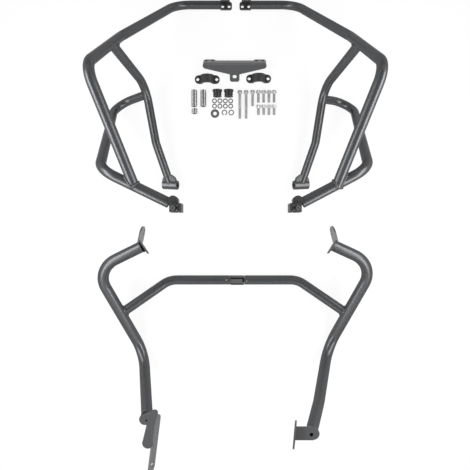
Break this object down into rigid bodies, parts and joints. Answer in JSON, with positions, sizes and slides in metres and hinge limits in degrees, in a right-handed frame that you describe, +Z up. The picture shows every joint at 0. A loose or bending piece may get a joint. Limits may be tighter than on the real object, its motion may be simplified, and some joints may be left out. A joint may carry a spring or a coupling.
{
  "type": "motorcycle crash bar kit",
  "caption": "Kit of tubular motorcycle crash bars laid out flat: two braced upper frames, a joined lower pair, a centre bracket, clamps, spacers and fasteners.",
  "frame": {"origin": "on the floor, at the centre of the footprint of the laid-out kit", "axes": "+X to the right of the layout, +Y from the feet of the lower pair to the drilled ends of the upper frames, +Z up"},
  "size_m": [0.7093, 1.2482, 0.4167],
  "materials": {
    "powder_coat": "graphite powder coat with a fine grain and a satin sheen",
    "cast_black": "black satin coat over machined and cast fittings",
    "zinc_steel": "bright zinc-plated steel with turned marks",
    "spigot_steel": "plain turned steel, hidden in the joint",
    "rubber": "moulded black rubber, matt"
  },
  "bodies": {
    "root": {"left_main_tube": "powder_coat", "left_end_lug": "cast_black", "left_brace_tube": "powder_coat", "left_side_tube": "powder_coat", "left_bush": "powder_coat", "left_bush_web": "powder_coat", "left_clamp_body": "cast_black", "left_clamp_cap": "cast_black", "left_clamp_screws": "zinc_steel", "left_lock_screw": "zinc_steel", "right_main_tube": "powder_coat", "right_end_lug": "cast_black", "right_brace_tube": "powder_coat", "right_side_tube": "powder_coat", "right_bush": "powder_coat", "right_bush_web": "powder_coat", "right_clamp_body": "cast_black", "right_clamp_cap": "cast_black", "right_clamp_screws": "zinc_steel", "right_lock_screw": "zinc_steel", "left_lower_tube": "powder_coat", "right_lower_tube": "powder_coat", "left_cross_tube": "powder_coat", "right_cross_tube": "powder_coat", "joint_sleeve": "powder_coat", "joint_spigot": "spigot_steel", "left_top_plate": "powder_coat", "right_top_plate": "powder_coat", "left_foot_plate": "powder_coat", "right_foot_tab": "powder_coat", "right_foot_plate": "powder_coat", "centre_bracket": "powder_coat", "left_bridge_clamp": "cast_black", "right_bridge_clamp": "cast_black", "long_spacers": "zinc_steel", "short_spacer": "zinc_steel", "tube_plugs": "rubber", "lock_washers": "zinc_steel", "large_washer": "zinc_steel", "spring_washer": "zinc_steel", "plain_ring": "zinc_steel", "long_bolts": "zinc_steel", "middle_bolt": "zinc_steel", "medium_bolts": "zinc_steel", "short_bolts": "zinc_steel"}
  },
  "joints": []
}
